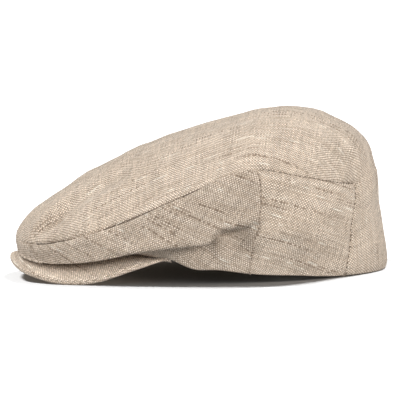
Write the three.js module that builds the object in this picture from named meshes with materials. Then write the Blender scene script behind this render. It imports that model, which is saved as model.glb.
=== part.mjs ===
// A linen flat cap: crown panels, stiffened visor, lining and sweatband, as separate sewn pieces.
// Frame: +Z up, +X the wearer's left, -Y the wearer's front. The cap stands on the plane z = 0,
// on the two side stretches of the visor's rim and on the rear hem. Everything is laid out round
// the vertical axis of the head; the finished group is then moved so that its origin is on the
// ground under the middle of the whole cap.
import * as THREE from 'three';

// ---- Driving dimensions, in millimetres and degrees ----

const HEAD_HALF_LENGTH = 99;      // hem ellipse, outside of the cloth
const HEAD_HALF_WIDTH = 82;
const HEM_RISE = 24.5;            // the hem's height above the ground at the front
const HEM_FLAT_FROM = 125;        // hem angle from the front where the hem reaches the ground
const HEM_RISE_POWER = 1.6;

const CLOTH = 1.0;                // outer linen
const LAYER_GAP = 0.3;            // clear space between neighbouring pieces
const INTERLINING = 0.5;
const LINING = 0.6;
const SEAM_GAP = 0.17;            // how far each panel stops short of the seam line
const LINING_HEM_GAP = 5;         // the lining's edge above the hem, behind the sweatband
const INTERLINING_INSET = 4;

const VISOR_CORNER = 65;          // hem angle where the visor ends
const VISOR_CLOTH = 0.8;
const VISOR_BOARD = 1.6;
const VISOR_SWEEP = 1.25;         // above 1 the visor leaves the head flat and then bends down
const BOARD_RIM_INSET = 3.2;      // from the visor's rim to the edge of the board
const BOARD_ROOT_INSET = 1;
const VISOR_ROOT_DROP = 0.5;      // the visor's upper face under the hem

const SWEATBAND = 1.1;
const SWEATBAND_HEIGHT = 30;
const SWEATBAND_INSET = 4.2;
const SWEATBAND_LEAN = 4.6;       // how far the top edge leans in
const SWEATBAND_LIFT = 1.0;       // its lower edge above the hem
const ELASTIC_FROM = 138;         // hem angle where the rear elastic starts
const ELASTIC_GAP_ANGLE = 0.25;

const LABEL = 0.4;
// Hem angles, and shares of the sweatband's height.
const LABELS = {
  size_label: { centre: 180, halfWidth: 9, shares: [0.25, 0.85] },
  care_label: { centre: 116, halfWidth: 9, shares: [0.1, 0.95] },
};

// Stations run from the centre front (0) past the ear seam (7) to the rear corner (10).
const EAR_STATION = 7;
const REAR_STATION = 10;
// The seam round the top panel.
const SEAM = [
  [0, -148, 28], [35, -139, 25], [61, -119.5, 26.2], [76, -91, 32.3], [84, -57, 44.4], [87, -23, 58.6],
  [88.5, 4, 69.4], [88, 22, 73], [80, 52, 66.8], [61, 70.8, 61.4], [43, 81, 58.9],
];
// The crown's middle line, at the same stations.
const SPINE = [
  [0, -148, 28], [0, -138, 39.5], [0, -118, 55], [0, -90, 71], [0, -57, 85.8], [0, -23, 97],
  [0, 4, 103.7], [0, 24, 107.2], [0, 58, 104], [0, 84.5, 88.4], [0, 93.4, 64],
];
// Where the side panels hang furthest out: the front ones turn in under this line.
const BULGE = [
  [0, -147.5, 18.6], [37, -138.5, 15], [63, -117.5, 12.9], [79, -89, 15], [87.5, -57, 20.3], [90, -23, 24.5],
  [90.5, 3, 32], [89.5, 20, 37], [83, 50, 33], [67, 67.8, 29], [51.5, 78.4, 26.7],
];
const TUCK_TURN = 3;              // how sharply the front panels turn in under it
// The hem angle that each station's panel runs down to.
const HEM_ANGLE = [0, 13, 27, 42, 58, 74, 89, 98.5, 112, 126, 139.2];
// The middle of the back below the rear corner, down to the ground.
const BACK = [[0, 93.4, 64], [0, 93.6, 46], [0, 95, 30], [0, 97.5, 15], [0, 99.5, 0]];
// The visor's lower rim, from the centre front to the corner.
const VISOR_RIM = [
  [0, -152, 11.2], [43, -140.5, 6.8], [65, -120.5, 1.8], [75.5, -101, 0], [80.5, -82, 2.2], [81, -58, 9.4],
  [77.5, -43.5, 12],
];
const ARCH_POWER = 2.4;           // how flat the top stays before it turns down to the seam

// Grid divisions.
const ARC_STEPS = 8;              // half of the top panel's front edge
const CORNER_STATION = 2;         // the front edge meets the long side here
const FRONT_STEPS = 6;
const FRONT_END_STATION = 4;
const STATION_STEP = 0.75;
const WALL_STEPS = 4;             // seam to bulge
const TUCK_STEPS = 5;             // bulge to hem
const VISOR_STEPS = 16;
const VISOR_ROWS = 7;
const BAND_STEPS = 44;
const ELASTIC_STEPS = 14;
const LABEL_STEPS = 4;

const ON_GROUND = 1e-6;

const COLOURS = {
  linen: 0xcdbfa8, lining: 0x6e6455, board: 0xdedad2, canvas: 0xe8e2d4, band: 0x4a4136, label: 0xf0ece2,
};

// ---- Curves ----

const vec = (x, y, z) => new THREE.Vector3(x, y, z);

// A curve through one point per station. With mirrored ends it crosses the middle plane squarely.
function stationCurve(points, mirrored) {
  const list = points.map((p) => vec(...p));
  if (mirrored) {
    list.unshift(vec(-points[1][0], points[1][1], points[1][2]));
  }
  const curve = new THREE.CatmullRomCurve3(list, false, 'catmullrom', 0.5);
  const first = mirrored ? 1 : 0;
  return (station) => curve.getPoint(Math.min(1, (station + first) / (list.length - 1)));
}

const seamAt = stationCurve(SEAM, true);
const spineAt = stationCurve(SPINE, true);
const bulgeAt = stationCurve(BULGE, true);
const backAt = stationCurve(BACK, false);
const rimAt = stationCurve(VISOR_RIM, true);
const hemAngleAt = stationCurve(HEM_ANGLE.map((angle) => [angle, 0, 0]), true);

function hemHeight(degrees) {
  const share = Math.min(1, Math.abs(degrees) / HEM_FLAT_FROM);
  return HEM_RISE * (1 - share * share) ** HEM_RISE_POWER;
}

// A point of the hem ellipse, moved in by inset and up by lift.
function hemPoint(degrees, inset = 0, lift = 0) {
  const angle = THREE.MathUtils.degToRad(degrees);
  const x = (HEAD_HALF_WIDTH - inset) * Math.sin(angle);
  const y = -(HEAD_HALF_LENGTH - inset) * Math.cos(angle);
  return vec(x, y, hemHeight(degrees) + lift);
}

// ---- The crown as grids of points: rows run down the long side, columns across ----

const arch = (share) => Math.abs(share) ** ARCH_POWER;

function stationOfY(y) {
  let low = 0;
  let high = FRONT_END_STATION;
  for (let step = 0; step < 40; step += 1) {
    const middle = (low + high) / 2;
    if (seamAt(middle).y < y) low = middle;
    else high = middle;
  }
  return (low + high) / 2;
}

// A point of the top between the spine and the seam, share running from -1 to 1.
function archPoint(spine, seam, share) {
  const point = spine.clone().lerp(seam, arch(share));
  point.x = seam.x * share;
  return point;
}

// The front of the top panel is a four-sided patch, so that its round edge needs no pole.
function frontPatchPoint(across, down) {
  const mirror = (point, side) => vec(point.x * side, point.y, point.z);
  const edge = mirror(seamAt(CORNER_STATION * Math.abs(across)), Math.sign(across));
  const end = seamAt(FRONT_END_STATION);
  const sideStation = CORNER_STATION + (FRONT_END_STATION - CORNER_STATION) * down;
  const side = seamAt(sideStation);
  const corner = seamAt(CORNER_STATION);
  const x = (1 - down) * edge.x + down * end.x * across + across * side.x
    - across * ((1 - down) * corner.x + down * end.x);
  const y = (1 - down) * edge.y + down * end.y + side.y - ((1 - down) * corner.y + down * end.y);
  if (down === 0) return edge;
  if (Math.abs(across) === 1) return mirror(side, across);
  const station = stationOfY(y);
  const seam = seamAt(station);
  return archPoint(vec(0, y, spineAt(station).z), vec(seam.x, y, seam.z), x / seam.x);
}

// A side panel's line from the seam (0) over the bulge (1) to the hem (2).
function wallPoint(station, down) {
  const seam = seamAt(station);
  const bulge = bulgeAt(station);
  const hem = hemPoint(hemAngleAt(station).x);
  const tuck = 1 - THREE.MathUtils.smoothstep(station, 3.5, 6.5);
  const wall = seam.z - bulge.z;
  const below = bulge.z - hem.z;
  const outward = vec(bulge.x, bulge.y, 0).normalize();
  if (down <= 1) {
    const upper = seam.clone().addScaledVector(outward, 0.1 * wall).add(vec(0, 0, -0.3 * wall));
    const lower = bulge.clone().add(vec(0, 0, 0.35 * wall));
    return new THREE.CubicBezierCurve3(seam, upper, lower, bulge).getPoint(down);
  }
  const turn = THREE.MathUtils.lerp(below / 3, TUCK_TURN, tuck);
  const upper = bulge.clone().add(vec(0, 0, -turn));
  const flat = hem.clone().lerp(bulge, 0.55);
  const upright = hem.clone().add(vec(0, 0, below / 3));
  const lower = upright.lerp(flat, tuck);
  return new THREE.CubicBezierCurve3(bulge, upper, lower, hem).getPoint(down - 1);
}

function steps(count, from, to) {
  return Array.from({ length: count + 1 }, (_, i) => from + ((to - from) * i) / count);
}

const WALL_LEVELS = [...steps(WALL_STEPS, 0, 1), ...steps(TUCK_STEPS, 1, 2).slice(1)];
const REAR_ROWS = steps((REAR_STATION - FRONT_END_STATION) / STATION_STEP, FRONT_END_STATION, REAR_STATION);
const FRONT_SIDE_STATIONS = [
  ...steps(ARC_STEPS, 0, CORNER_STATION),
  ...steps(FRONT_STEPS, CORNER_STATION, FRONT_END_STATION).slice(1),
  ...REAR_ROWS.filter((station) => station > FRONT_END_STATION && station <= EAR_STATION),
];
const REAR_SIDE_STATIONS = REAR_ROWS.filter((station) => station >= EAR_STATION);

function topGrid() {
  const columns = steps(2 * ARC_STEPS, -1, 1);
  const front = steps(FRONT_STEPS, 0, 1).slice(0, -1)
    .map((down) => columns.map((across) => frontPatchPoint(across, down)));
  const middle = REAR_ROWS.slice(0, -1)
    .map((station) => columns.map((across) => archPoint(spineAt(station), seamAt(station), across)));
  const tail = WALL_LEVELS.map((level) => {
    const edge = wallPoint(REAR_STATION, level);
    const drop = 1 - edge.z / seamAt(REAR_STATION).z;
    return columns.map((across) => archPoint(backAt(drop * (BACK.length - 1)), edge, across));
  });
  return [...front, ...middle, ...tail];
}

// Columns run forward, so that every grid's rows and columns turn the same way seen from outside.
const sideGrid = (stations) => WALL_LEVELS
  .map((level) => stations.map((station) => wallPoint(station, level)).reverse());
const mirrorGrid = (grid) => grid.map((row) => row.map((p) => vec(-p.x, p.y, p.z)).reverse());

// ---- Shells: a grid offset along shared normals, closed round its edges ----

const key = (p) => [p.x, p.y, p.z].map((value) => Math.round(value * 100)).join(',');

// Normals of all the grids as one skin, so that neighbours keep a common edge when they are offset.
function weldedNormals(grids) {
  const sums = new Map();
  const addTo = (p, normal) => {
    if (!sums.has(key(p))) sums.set(key(p), vec(0, 0, 0));
    sums.get(key(p)).add(normal);
  };
  for (const grid of grids) {
    for (let r = 0; r + 1 < grid.length; r += 1) {
      for (let c = 0; c + 1 < grid[r].length; c += 1) {
        const corners = [grid[r][c], grid[r][c + 1], grid[r + 1][c + 1], grid[r + 1][c]];
        const normal = corners[2].clone().sub(corners[0]).cross(corners[3].clone().sub(corners[1]));
        corners.forEach((p) => addTo(p, normal));
      }
    }
  }
  return (p) => sums.get(key(p)).clone().normalize();
}

// Pulls the four edges of a grid back in the surface: { top, bottom, left, right } in millimetres.
function trimGrid(grid, trim) {
  const last = grid.length - 1;
  const end = grid[0].length - 1;
  const rows = grid.map((row) => row.map((p) => p.clone()));
  const inside = (r, c) => grid[THREE.MathUtils.clamp(r, 1, last - 1)][THREE.MathUtils.clamp(c, 1, end - 1)];
  const pull = (r, c, before, after, distance) => {
    const along = after.clone().sub(before).normalize();
    const inward = inside(r, c).clone().sub(grid[r][c]);
    inward.addScaledVector(along, -inward.dot(along)).normalize();
    rows[r][c].addScaledVector(inward, distance);
    if (trim.bottom === 0 && grid[r][c].z < ON_GROUND) rows[r][c].z = 0;
  };
  for (let r = 0; r <= last; r += 1) {
    const before = Math.max(0, r - 1);
    const after = Math.min(last, r + 1);
    pull(r, 0, grid[before][0], grid[after][0], trim.left);
    pull(r, end, grid[before][end], grid[after][end], trim.right);
  }
  for (let c = 0; c <= end; c += 1) {
    const before = Math.max(0, c - 1);
    const after = Math.min(end, c + 1);
    pull(0, c, grid[0][before], grid[0][after], trim.top);
    pull(last, c, grid[last][before], grid[last][after], trim.bottom);
  }
  return rows;
}

// The trimmed grid moved along the normals of the whole skin. The hem stays on the ground.
const offsetGrid = (grid, trimmed, normalOf, distance) => grid.map((row, r) => row.map((p, c) => {
  const moved = trimmed[r][c].clone().addScaledVector(normalOf(p), distance);
  if (trimmed[r][c].z < ON_GROUND) moved.z = 0;
  return moved;
}));

// A closed solid between two grids of the same size.
function solidBetween(outer, inner) {
  const height = outer.length;
  const width = outer[0].length;
  const points = [...outer.flat(), ...inner.flat()];
  const right = width - 1;
  const foot = height - 1;
  const index = (side, r, c) => side * height * width + r * width + c;
  const faces = [];
  const quad = (a, b, c, d) => faces.push(a, b, c, a, c, d);
  for (let r = 0; r + 1 < height; r += 1) {
    for (let c = 0; c + 1 < width; c += 1) {
      quad(index(0, r, c), index(0, r, c + 1), index(0, r + 1, c + 1), index(0, r + 1, c));
      quad(index(1, r, c), index(1, r + 1, c), index(1, r + 1, c + 1), index(1, r, c + 1));
    }
    quad(index(0, r, 0), index(0, r + 1, 0), index(1, r + 1, 0), index(1, r, 0));
    quad(index(0, r, right), index(1, r, right), index(1, r + 1, right), index(0, r + 1, right));
  }
  for (let c = 0; c + 1 < width; c += 1) {
    quad(index(0, 0, c), index(1, 0, c), index(1, 0, c + 1), index(0, 0, c + 1));
    quad(index(0, foot, c), index(0, foot, c + 1), index(1, foot, c + 1), index(1, foot, c));
  }
  const geometry = new THREE.BufferGeometry();
  geometry.setAttribute('position', new THREE.Float32BufferAttribute(points.flatMap((p) => p.toArray()), 3));
  geometry.setIndex(faces);
  return faceOutward(geometry);
}

function faceOutward(geometry) {
  const position = geometry.attributes.position;
  const faces = Array.from(geometry.index.array);
  const [a, b, c] = [vec(0, 0, 0), vec(0, 0, 0), vec(0, 0, 0)];
  let volume = 0;
  for (let i = 0; i < faces.length; i += 3) {
    a.fromBufferAttribute(position, faces[i]);
    b.fromBufferAttribute(position, faces[i + 1]);
    c.fromBufferAttribute(position, faces[i + 2]);
    volume += a.dot(b.cross(c));
  }
  if (volume < 0) {
    for (let i = 0; i < faces.length; i += 3) {
      [faces[i + 1], faces[i + 2]] = [faces[i + 2], faces[i + 1]];
    }
    geometry.setIndex(faces);
  }
  return geometry;
}

// ---- The pieces ----

const cap = new THREE.Group();

function addPiece(name, geometry, colour, roughness = 0.9) {
  const material = new THREE.MeshStandardMaterial({ color: colour, roughness, metalness: 0 });
  const mesh = new THREE.Mesh(geometry, material);
  mesh.name = name;
  cap.add(mesh);
}

const topPanel = topGrid();
const frontSide = sideGrid(FRONT_SIDE_STATIONS);
const rearSide = sideGrid(REAR_SIDE_STATIONS);
const wholeSide = rearSide.map((row, r) => [...row, ...frontSide[r].slice(1)]);
const skin = [topPanel, frontSide, rearSide, mirrorGrid(frontSide), mirrorGrid(rearSide)];
const crownNormal = weldedNormals(skin);

function crownShell(grid, depth, thickness, trim) {
  const trimmed = trimGrid(grid, trim);
  const outer = offsetGrid(grid, trimmed, crownNormal, -depth);
  const inner = offsetGrid(grid, trimmed, crownNormal, -depth - thickness);
  return solidBetween(outer, inner);
}

const even = (distance) => ({ top: distance, bottom: distance, left: distance, right: distance });

function addCrown() {
  const panelTrim = { ...even(SEAM_GAP), bottom: 0 };
  addPiece('top_panel', crownShell(topPanel, 0, CLOTH, panelTrim), COLOURS.linen);
  const sides = { left: (grid) => grid, right: mirrorGrid };
  for (const [side, place] of Object.entries(sides)) {
    addPiece(`front_side_panel_${side}`, crownShell(place(frontSide), 0, CLOTH, panelTrim), COLOURS.linen);
    addPiece(`rear_side_panel_${side}`, crownShell(place(rearSide), 0, CLOTH, panelTrim), COLOURS.linen);
  }
}

function addCrownInside() {
  const interliningRows = topPanel.slice(0, FRONT_STEPS + 1);
  const interliningDepth = CLOTH + LAYER_GAP;
  const interlining = crownShell(interliningRows, interliningDepth, INTERLINING, even(INTERLINING_INSET));
  addPiece('front_interlining', interlining, COLOURS.canvas);
  const depth = interliningDepth + INTERLINING + LAYER_GAP;
  const trim = { ...even(SEAM_GAP), bottom: LINING_HEM_GAP };
  addPiece('lining_top', crownShell(topPanel, depth, LINING, trim), COLOURS.lining, 0.5);
  addPiece('lining_side_left', crownShell(wholeSide, depth, LINING, trim), COLOURS.lining, 0.5);
  addPiece('lining_side_right', crownShell(mirrorGrid(wholeSide), depth, LINING, trim), COLOURS.lining, 0.5);
}

// The visor's middle surface: across runs from corner to corner, out from the hem to the rim.
function visorPoint(across, out) {
  const halfThickness = VISOR_BOARD / 2 + LAYER_GAP + VISOR_CLOTH;
  const root = hemPoint(across * VISOR_CORNER, 0, -VISOR_ROOT_DROP - halfThickness);
  const rim = rimAt(Math.abs(across) * (VISOR_RIM.length - 1));
  rim.x *= Math.sign(across);
  rim.z += halfThickness;
  const point = root.clone().lerp(rim, out);
  point.z = root.z + (rim.z - root.z) * out ** VISOR_SWEEP;
  return point;
}

function visorGrid() {
  return steps(VISOR_ROWS, 0, 1)
    .map((out) => steps(VISOR_STEPS, -1, 1).map((across) => visorPoint(across, out)));
}

function visorLayer(grid, from, to, trim) {
  const raise = (height) => trimGrid(grid, trim).map((row) => row.map((p) => vec(p.x, p.y, p.z + height)));
  return solidBetween(raise(to), raise(from));
}

function addVisor() {
  const half = VISOR_BOARD / 2;
  const face = half + LAYER_GAP;
  const cover = visorGrid();
  const board = cover.map((row) => row.slice(1, -1));
  const boardTrim = { top: BOARD_ROOT_INSET, bottom: BOARD_RIM_INSET, left: 0, right: 0 };
  addPiece('visor_cover_upper', visorLayer(cover, face, face + VISOR_CLOTH, even(0)), COLOURS.linen);
  addPiece('visor_board', visorLayer(board, -half, half, boardTrim), COLOURS.board, 0.6);
  addPiece('visor_cover_lower', visorLayer(cover, -face - VISOR_CLOTH, -face, even(0)), COLOURS.linen);
}

// A curved strip on the inside of the head opening, between two hem angles. Its lower and upper
// edges are shares of the sweatband's height, and depth is its distance in from the band's outer face.
function bandStrip(angles, shares, depth, thickness) {
  const wall = (inset) => shares.map((up) => angles.map(
    (angle) => hemPoint(angle, inset + up * SWEATBAND_LEAN, SWEATBAND_LIFT + up * SWEATBAND_HEIGHT),
  ));
  return solidBetween(wall(SWEATBAND_INSET + depth), wall(SWEATBAND_INSET + depth + thickness));
}

function addBand() {
  const bandAngles = steps(BAND_STEPS, -ELASTIC_FROM, ELASTIC_FROM);
  const elasticStart = ELASTIC_FROM + ELASTIC_GAP_ANGLE;
  const elasticAngles = steps(ELASTIC_STEPS, elasticStart, 360 - elasticStart);
  addPiece('sweatband', bandStrip(bandAngles, [0, 1], 0, SWEATBAND), COLOURS.band, 0.8);
  addPiece('rear_elastic', bandStrip(elasticAngles, [0, 1], 0, SWEATBAND), COLOURS.band, 0.8);
}

function addLabels() {
  const depth = SWEATBAND + LAYER_GAP;
  for (const [name, { centre, halfWidth, shares }] of Object.entries(LABELS)) {
    const angles = steps(LABEL_STEPS, centre - halfWidth, centre + halfWidth);
    addPiece(name, bandStrip(angles, shares, depth, LABEL), COLOURS.label, 0.5);
  }
}

addCrown();
addCrownInside();
addVisor();
addBand();
addLabels();
cap.position.y = -(VISOR_RIM[0][1] + BACK[BACK.length - 1][1]) / 2;

export default cap;
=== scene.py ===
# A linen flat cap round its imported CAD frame: sewn crown panels, visor, lining, sweatband, stitches.
# Shapes are worked out in millimetres in the frame of the head (see place()), then put in metres.
import math

import bpy
import numpy as np
from mathutils import Matrix, Vector, noise
from mathutils.kdtree import KDTree


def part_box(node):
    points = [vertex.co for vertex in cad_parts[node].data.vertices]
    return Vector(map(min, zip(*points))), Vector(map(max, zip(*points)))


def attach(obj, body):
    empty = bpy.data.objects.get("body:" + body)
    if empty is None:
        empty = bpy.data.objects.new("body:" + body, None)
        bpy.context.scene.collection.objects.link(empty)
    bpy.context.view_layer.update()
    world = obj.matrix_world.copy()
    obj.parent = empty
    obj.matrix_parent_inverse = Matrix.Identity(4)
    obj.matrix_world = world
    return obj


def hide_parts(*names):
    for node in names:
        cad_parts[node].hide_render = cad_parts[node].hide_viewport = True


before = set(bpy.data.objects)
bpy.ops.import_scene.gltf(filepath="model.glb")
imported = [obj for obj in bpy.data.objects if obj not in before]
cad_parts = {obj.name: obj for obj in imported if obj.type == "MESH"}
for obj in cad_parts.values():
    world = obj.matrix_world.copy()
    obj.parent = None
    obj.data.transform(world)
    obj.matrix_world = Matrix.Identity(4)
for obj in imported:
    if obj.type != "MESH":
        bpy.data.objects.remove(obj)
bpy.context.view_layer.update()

# ---- Driving dimensions, as in the CAD part, in millimetres and degrees ----

HEAD_HALF_LENGTH = 99
HEAD_HALF_WIDTH = 82
HEM_RISE = 24.5
HEM_FLAT_FROM = 125
HEM_RISE_POWER = 1.6
ARCH_POWER = 2.4
TUCK_TURN = 3
VISOR_SWEEP = 1.25
EAR = 7
REAR = 10
FRONT_CORNER = 2
FRONT_END = 4
SEAM = [
    [0, -148, 28], [35, -139, 25], [61, -119.5, 26.2], [76, -91, 32.3], [84, -57, 44.4], [87, -23, 58.6],
    [88.5, 4, 69.4], [88, 22, 73], [80, 52, 66.8], [61, 70.8, 61.4], [43, 81, 58.9],
]
SPINE = [
    [0, -148, 28], [0, -138, 39.5], [0, -118, 55], [0, -90, 71], [0, -57, 85.8], [0, -23, 97],
    [0, 4, 103.7], [0, 24, 107.2], [0, 58, 104], [0, 84.5, 88.4], [0, 93.4, 64],
]
BULGE = [
    [0, -147.5, 18.6], [37, -138.5, 15], [63, -117.5, 12.9], [79, -89, 15], [87.5, -57, 20.3],
    [90, -23, 24.5], [90.5, 3, 32], [89.5, 20, 37], [83, 50, 33], [67, 67.8, 29], [51.5, 78.4, 26.7],
]
HEM_ANGLE = [0, 13, 27, 42, 58, 74, 89, 98.5, 112, 126, 139.2]
BACK = [[0, 93.4, 64], [0, 93.6, 46], [0, 95, 30], [0, 97.5, 15], [0, 99.5, 0]]
VISOR_RIM = [
    [0, -152, 11.2], [43, -140.5, 6.8], [65, -120.5, 1.8], [75.5, -101, 0], [80.5, -82, 2.2], [81, -58, 9.4],
    [77.5, -43.5, 12],
]

# The head's vertical axis is this far in front of the origin of the frame.
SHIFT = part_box("top_panel")[1].y * 1000 - BACK[-1][1]


def place(points):
    """Head frame in millimetres to the row frame in metres."""
    return (np.asarray(points, float) + [0, SHIFT, 0]) / 1000


# ---- Curves and surfaces of the cap's pattern ----

def station_curve(points, mirrored=True):
    """A uniform Catmull-Rom curve through one point per station."""
    points = np.array(points, float)
    offset = 0
    if mirrored:
        points = np.vstack([points[1] * [-1, 1, 1], points])
        offset = 1
    padded = np.vstack([2 * points[0] - points[1], points, 2 * points[-1] - points[-2]])

    def at(station):
        t = np.clip(np.asarray(station, float) + offset, 0, len(points) - 1)
        i = np.minimum(np.floor(t).astype(int), len(points) - 2)
        f = (t - i)[..., None]
        p0, p1, p2, p3 = (padded[i + k] for k in range(4))
        m1, m2 = (p2 - p0) / 2, (p3 - p1) / 2
        return p1 + m1 * f + (3 * (p2 - p1) - 2 * m1 - m2) * f**2 + (2 * (p1 - p2) + m1 + m2) * f**3

    return at


seam_at = station_curve(SEAM)
spine_at = station_curve(SPINE)
bulge_at = station_curve(BULGE)
back_at = station_curve(BACK, mirrored=False)
rim_at = station_curve(VISOR_RIM)
hem_angle_at = station_curve([[a, 0, 0] for a in HEM_ANGLE])

Z = np.array([0.0, 0.0, 1.0])


def column(value):
    return np.asarray(value, float)[..., None]


def unit(vectors):
    return vectors / np.maximum(np.linalg.norm(vectors, axis=-1, keepdims=True), 1e-9)


def turned(degrees):
    return math.cos(math.radians(degrees)), math.sin(math.radians(degrees))


def bell(value, width):
    return np.exp(-((value / width) ** 2))


def running_mean(values, width):
    return np.convolve(np.pad(values, width // 2, mode="edge"), np.ones(width) / width, "valid")


def smooth(value, low, high):
    t = np.clip((np.asarray(value, float) - low) / (high - low), 0, 1)
    return t * t * (3 - 2 * t)


# Where the soft hem leaves the even curve: angle, how wide, how far up.
HEM_WAVES = [(118, 14, 2.2), (78, 6.5, -2.6), (67.5, 3.6, 0.9)]


def hem_height(degrees):
    a = np.abs(degrees)
    even = HEM_RISE * (1 - np.minimum(1, a / HEM_FLAT_FROM) ** 2) ** HEM_RISE_POWER
    return even + sum(lift * bell(a - centre, width) for centre, width, lift in HEM_WAVES)


HEM_ANGLES = np.linspace(0, 180, 91)
HEM_PLACES, HEM_HEIGHTS = -HEAD_HALF_LENGTH * np.cos(np.radians(HEM_ANGLES)), hem_height(HEM_ANGLES)


def hem_height_at(y):
    return np.interp(y, HEM_PLACES, HEM_HEIGHTS)


def hem_point(degrees, inset=0.0, lift=0.0):
    a = np.radians(degrees)
    x = (HEAD_HALF_WIDTH - inset) * np.sin(a)
    y = -(HEAD_HALF_LENGTH - inset) * np.cos(a)
    return np.stack(np.broadcast_arrays(x, y, hem_height(degrees) + lift), -1)


def bezier(a, b, c, d, t):
    t = column(t)
    return a * (1 - t) ** 3 + 3 * b * t * (1 - t) ** 2 + 3 * c * t**2 * (1 - t) + d * t**3


def wall_point(station, down):
    """The side panels: from the seam (0) over the bulge (1) to the hem (2)."""
    station, down = np.broadcast_arrays(np.asarray(station, float), np.asarray(down, float))
    seam, bulge = seam_at(station), bulge_at(station)
    hem = hem_point(hem_angle_at(station)[..., 0])
    tuck = 1 - smooth(station, 3.5, 6.5)
    wall, below = seam[..., 2] - bulge[..., 2], bulge[..., 2] - hem[..., 2]
    outward = unit(bulge * [1, 1, 0])
    upper = bezier(seam, seam + outward * column(0.1 * wall) - Z * column(0.3 * wall),
                   bulge + Z * column(0.35 * wall), bulge, np.clip(down, 0, 1))
    turn = (below / 3) * (1 - tuck) + TUCK_TURN * tuck
    flat = hem + (bulge - hem) * 0.55
    upright = hem + Z * column(below / 3)
    lower = bezier(bulge, bulge - Z * column(turn), upright + (flat - upright) * column(tuck), hem,
                   np.clip(down - 1, 0, 1))
    return np.where(column(down) <= 1, upper, lower)


TABLE = np.linspace(0, REAR, 2001)
SEAM_TABLE, SPINE_TABLE = seam_at(TABLE), spine_at(TABLE)


def station_of_y(y):
    return np.interp(y, SEAM_TABLE[:, 1], TABLE)


def arch_point(spine, seam, share):
    point = spine + (seam - spine) * column(np.abs(share) ** ARCH_POWER)
    point[..., 0] = seam[..., 0] * share
    return point


def sides(across):
    """Factors that put a curve of the left side (+) on the right side (-) too."""
    return np.stack([np.sign(across)] + [np.ones_like(across)] * 2, -1)


def front_point(across, down):
    """The front of the top panel: a four-sided patch inside its round edge."""
    edge, corner = seam_at(FRONT_CORNER * np.abs(across)) * sides(across), seam_at(FRONT_CORNER)
    long_side = seam_at(FRONT_CORNER + (FRONT_END - FRONT_CORNER) * down)
    x = (1 - down) * (edge[..., 0] - across * corner[0]) + across * long_side[..., 0]
    y = (1 - down) * (edge[..., 1] - corner[1]) + long_side[..., 1]
    station = station_of_y(y)
    seam, spine = seam_at(station), spine_at(station)
    share = np.clip(x / np.maximum(seam[..., 0], 1e-6), -1, 1)
    seam[..., 1] = y
    spine[..., 1] = y
    point = arch_point(spine, seam, share)
    point = np.where(column(np.abs(across)) >= 1, long_side * sides(across), point)
    return np.where(column(down) <= 0, edge, point)


def arch_length(half_width, drop, share):
    """Length along the arch from the middle line to a share of the half width."""
    slope = drop / np.maximum(half_width, 1e-6)
    nodes, weights = np.polynomial.legendre.leggauss(8)
    nodes, weights = (nodes + 1) / 2, weights / 2
    k = np.abs(share)[..., None] * nodes
    run = np.sqrt(1 + (ARCH_POWER * k ** (ARCH_POWER - 1) * slope[..., None]) ** 2) @ weights
    return half_width * share * run


def lengths_along(points):
    """Distances along a line of points, or down each column of a grid."""
    steps = np.linalg.norm(np.diff(points, axis=0), axis=-1)
    return np.concatenate([0 * steps[:1], np.cumsum(steps, axis=0)])


def interpolated(at, along, values):
    """Rows of values, read at places along their line."""
    return np.stack([np.interp(at, along, v) for v in values.T], -1)


SPINE_LENGTH = lengths_along(SPINE_TABLE)
SEAM_LENGTH = lengths_along(SEAM_TABLE)
BULGE_LENGTH = lengths_along(bulge_at(TABLE))

# ---- Grids of points: closer together next to the seams ----

STEP = 1.5


def graded(length, fine_start=True, fine_end=True, step=STEP):
    """Shares from 0 to 1 along a length."""
    edge, gap = [0.0], 0.32
    while gap < step:
        edge.append(edge[-1] + gap)
        gap *= 1.35
    edge = np.array(edge) / length
    start = edge if fine_start else edge[:1]
    end = 1 - (edge if fine_end else edge[:1])[::-1]
    count = max(1, math.ceil((end[0] - start[-1]) * length / step))
    return np.concatenate([start, np.linspace(start[-1], end[0], count + 1)[1:-1], end])


def stations_between(first, last, table, **fine):
    a, b = np.interp([first, last], TABLE, table)
    return np.interp(a + (b - a) * graded(b - a, **fine), table, TABLE)


FRONT_DROP = 105


def top_grid():
    """The top and back panel, with the place of each point on the flat cloth."""
    across = graded(200) * 2 - 1
    front = graded(FRONT_DROP, fine_end=False)[:-1]
    rows, flat = [front_point(across, np.full_like(across, down)) for down in front], []
    for row in rows:
        station = station_of_y(row[:, 1])
        spine, seam = spine_at(station), seam_at(station)
        drop = np.abs(seam[:, 2] - spine[:, 2])
        share = row[:, 0] / np.maximum(seam[:, 0], 1)
        cross = arch_length(np.maximum(seam[:, 0], 1), drop, np.clip(share, -1, 1))
        flat.append(np.stack([np.interp(station, TABLE, SPINE_LENGTH), cross], -1))
    for station in stations_between(FRONT_END, REAR, SPINE_LENGTH, fine_start=False, fine_end=False)[:-1]:
        rows.append(arch_point(spine_at(station), seam_at(station), across))
    for level in graded(64, fine_start=False) * 2:
        edge = wall_point(REAR, level)
        middle = back_at((1 - edge[2] / seam_at(REAR)[2]) * (len(BACK) - 1))
        rows.append(arch_point(middle, edge, across))
    for number in range(len(flat), len(rows)):
        cross = lengths_along(rows[number])
        step = np.linalg.norm(rows[number] - rows[number - 1], axis=1)
        flat.append(np.stack([flat[-1][:, 0] + running_mean(step, 25), cross - cross[len(across) // 2]], -1))
    return np.array(rows), np.array(flat)


EAR_BOW = 0.11


def ear_bow(down):
    return EAR_BOW * np.sin(np.pi * np.clip(np.asarray(down) / 1.35, 0, 1))


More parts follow.
